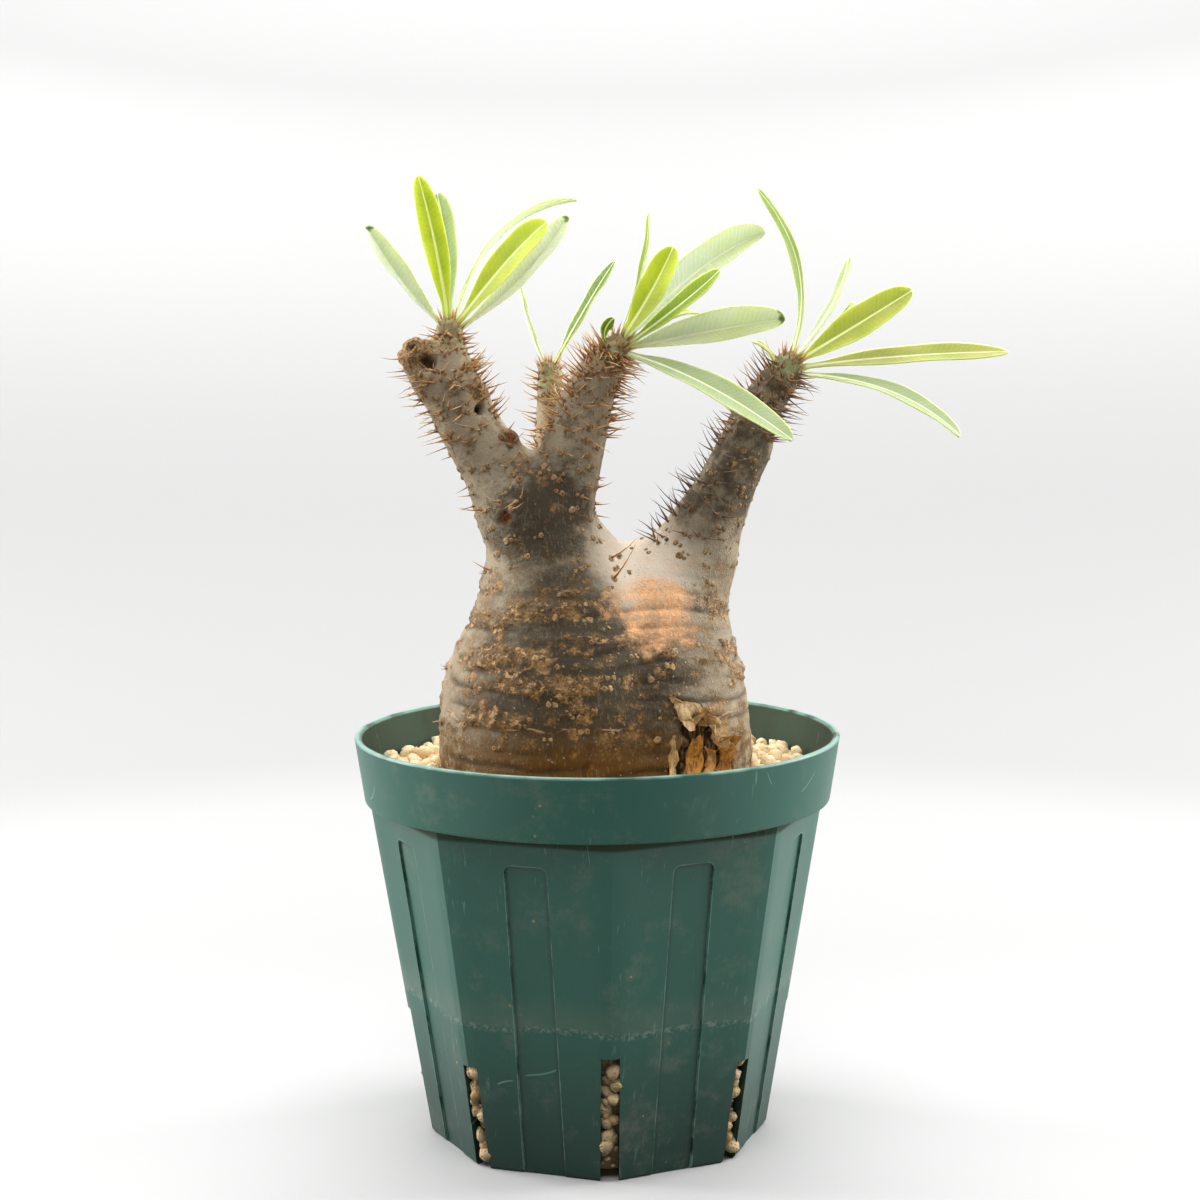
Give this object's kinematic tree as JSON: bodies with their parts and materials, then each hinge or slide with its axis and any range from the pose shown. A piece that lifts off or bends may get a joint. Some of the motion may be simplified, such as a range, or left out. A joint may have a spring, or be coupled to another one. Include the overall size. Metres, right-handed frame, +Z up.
{
  "type": "potted pachypodium",
  "caption": "Swollen-stemmed pachypodium with spiny branches and narrow leaves, standing in pumice grit in a slit-sided nursery pot.",
  "frame": {"origin": "centre of the pot's flat underside, on the plane it stands on", "axes": "+Z up along the pot's axis, +Y away from the picture's camera, +X to the right of it"},
  "size_m": [0.1401, 0.105, 0.2076],
  "materials": {
    "pot_plastic": "dusty dark green moulded plastic",
    "pumice": "cream pumice grit",
    "bark": "grey-beige bark with corky wrinkles",
    "leaf_green": "satin green leaf, paler below",
    "leaf_young": "satin yellow-green young leaf"
  },
  "bodies": {
    "root": {"pot": "pot_plastic", "grit": "pumice", "caudex": "bark", "leaf_left_1": "leaf_green", "leaf_left_2": "leaf_young", "leaf_left_3": "leaf_green", "leaf_left_4": "leaf_green", "leaf_left_5": "leaf_young", "leaf_left_6": "leaf_green", "leaf_back_1": "leaf_green", "leaf_back_2": "leaf_green", "leaf_centre_1": "leaf_green", "leaf_centre_2": "leaf_young", "leaf_centre_3": "leaf_green", "leaf_centre_4": "leaf_green", "leaf_centre_5": "leaf_green", "leaf_centre_6": "leaf_green", "leaf_centre_7": "leaf_young", "leaf_centre_8": "leaf_young", "leaf_right_1": "leaf_green", "leaf_right_2": "leaf_green", "leaf_right_3": "leaf_green", "leaf_right_4": "leaf_green", "leaf_right_5": "leaf_green", "leaf_right_6": "leaf_green", "leaf_right_7": "leaf_young"}
  },
  "joints": []
}
